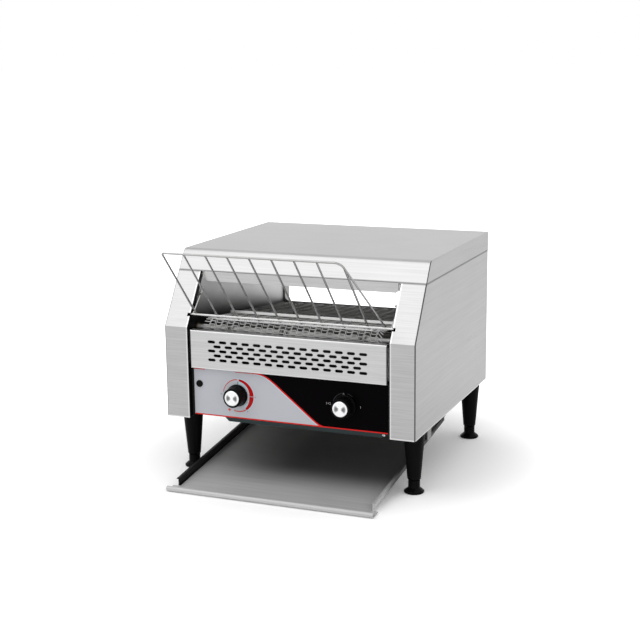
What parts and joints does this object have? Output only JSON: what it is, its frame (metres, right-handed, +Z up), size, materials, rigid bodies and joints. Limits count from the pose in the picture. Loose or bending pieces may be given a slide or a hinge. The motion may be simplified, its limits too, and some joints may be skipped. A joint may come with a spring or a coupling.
{
  "type": "conveyor toaster",
  "caption": "Countertop conveyor toaster: sloping wire feed rack, wire belt between heaters, perforated front, recessed control panel with knobs, sliding tray, tapered legs.",
  "frame": {"origin": "on the table under the middle of the whole machine", "axes": "+Z up, +X to the right of a person facing the control panel, +Y towards the rear"},
  "size_m": [0.45, 0.5402, 0.4067],
  "materials": {
    "lid_steel": "satin, grain along the sheet",
    "side_steel": "satin, grain along the sheet",
    "front_steel": "satin, grain along the sheet",
    "inner_steel": "mill finish",
    "tray_steel": "satin, grain along the sheet",
    "wire_steel": "polished wire",
    "belt_steel": "heat-darkened wire",
    "shaft_steel": "turned",
    "film": "printed film",
    "knob_plastic": "satin black",
    "spun_metal": "spun",
    "leg_plastic": "satin black",
    "lamp_plastic": "dark lens, unlit",
    "heater_sheath": "heat-darkened",
    "ceramic": "glazed ceramic",
    "bronze": "sintered bronze",
    "motor_metal": "cast and painted",
    "circuit_board": "circuit board",
    "black_nylon": "moulded"
  },
  "bodies": {
    "housing": {"base_plate": "inner_steel", "left_side_panel": "side_steel", "right_side_panel": "side_steel", "left_inner_wall": "inner_steel", "right_inner_wall": "inner_steel", "top_cover": "lid_steel", "front_baffle": "front_steel", "perforated_panel": "front_steel", "control_panel": "front_steel", "control_overlay": "film", "control_bay_cover": "inner_steel", "bay_heat_shield": "inner_steel", "speed_potentiometer": "black_nylon", "mode_switch": "black_nylon", "indicator_lamp": "lamp_plastic", "speed_control_board": "circuit_board", "rear_panel": "inner_steel", "toast_chute": "inner_steel", "upper_reflector": "inner_steel", "lower_reflector": "inner_steel", "upper_heaters": "heater_sheath", "lower_heaters": "heater_sheath", "heater_holders": "ceramic", "conveyor_belt": "belt_steel", "shaft_bushes": "bronze", "motor_bracket": "inner_steel", "gear_motor": "motor_metal", "drive_chain": "shaft_steel", "cable_gland": "black_nylon", "terminal_block": "ceramic", "rack_stop_pegs": "shaft_steel", "left_tray_hanger": "inner_steel", "right_tray_hanger": "inner_steel", "leg_bolts": "shaft_steel", "leg_front_left": "leg_plastic", "leg_rear_left": "leg_plastic", "leg_front_right": "leg_plastic", "leg_rear_right": "leg_plastic"},
    "feed_rack": {"feed_rack": "wire_steel", "rack_wires": "wire_steel", "rack_rods": "wire_steel"},
    "collecting_tray": {"collecting_tray": "tray_steel"},
    "speed_control": {"speed_knob": "knob_plastic", "speed_knob_cap": "spun_metal", "speed_spindle": "shaft_steel"},
    "mode_control": {"mode_knob": "knob_plastic", "mode_knob_cap": "spun_metal", "mode_spindle": "shaft_steel"},
    "front_roller": {"front_shaft": "shaft_steel", "front_belt_wheels": "shaft_steel"},
    "rear_roller": {"rear_shaft": "shaft_steel", "rear_belt_wheels": "shaft_steel", "shaft_sprocket": "shaft_steel"},
    "motor_output": {"motor_output_shaft": "shaft_steel", "motor_sprocket": "shaft_steel"},
    "foot_front_left": {"foot_front_left": "leg_plastic"},
    "foot_rear_left": {"foot_rear_left": "leg_plastic"},
    "foot_front_right": {"foot_front_right": "leg_plastic"},
    "foot_rear_right": {"foot_rear_right": "leg_plastic"}
  },
  "joints": [
    {"name": "feed_rack_fold", "type": "hinge", "parent": "housing", "child": "feed_rack", "pos_m": [0, -0.16195, 0.2838], "axis": [-1, 0, 0], "range_deg": [0, 62]},
    {"name": "tray_draw", "type": "slide", "parent": "housing", "child": "collecting_tray", "axis": [0, -1, 0], "range_m": [0, 0.3]},
    {"name": "speed_turn", "type": "hinge", "parent": "housing", "child": "speed_control", "pos_m": [-0.0944, -0.17995, 0.1506], "axis": [0, 1, 0], "range_deg": [0, 270]},
    {"name": "mode_turn", "type": "hinge", "parent": "housing", "child": "mode_control", "pos_m": [0.1006, -0.17995, 0.1506], "axis": [0, 1, 0], "range_deg": [-90, 90]},
    {"name": "rear_roller_spin", "type": "hinge", "parent": "housing", "child": "rear_roller", "pos_m": [0, 0.16851, 0.227], "axis": [-1, 0, 0], "continuous": true},
    {"name": "front_roller_spin", "type": "hinge", "parent": "housing", "child": "front_roller", "pos_m": [0, -0.14195, 0.258], "axis": [-1, 0, 0], "continuous": true},
    {"name": "motor_output_spin", "type": "hinge", "parent": "housing", "child": "motor_output", "pos_m": [0, 0.06451, 0.168], "axis": [-1, 0, 0], "continuous": true},
    {"name": "foot_front_left_level", "type": "slide", "parent": "housing", "child": "foot_front_left", "axis": [0, 0, -1], "range_m": [0, 0.012]},
    {"name": "foot_rear_left_level", "type": "slide", "parent": "housing", "child": "foot_rear_left", "axis": [0, 0, -1], "range_m": [0, 0.012]},
    {"name": "foot_front_right_level", "type": "slide", "parent": "housing", "child": "foot_front_right", "axis": [0, 0, -1], "range_m": [0, 0.012]},
    {"name": "foot_rear_right_level", "type": "slide", "parent": "housing", "child": "foot_rear_right", "axis": [0, 0, -1], "range_m": [0, 0.012]}
  ],
  "couplings": [
    {"joint": "front_roller_spin", "follows": "rear_roller_spin", "ratio": 1},
    {"joint": "motor_output_spin", "follows": "rear_roller_spin", "ratio": 1.5}
  ]
}
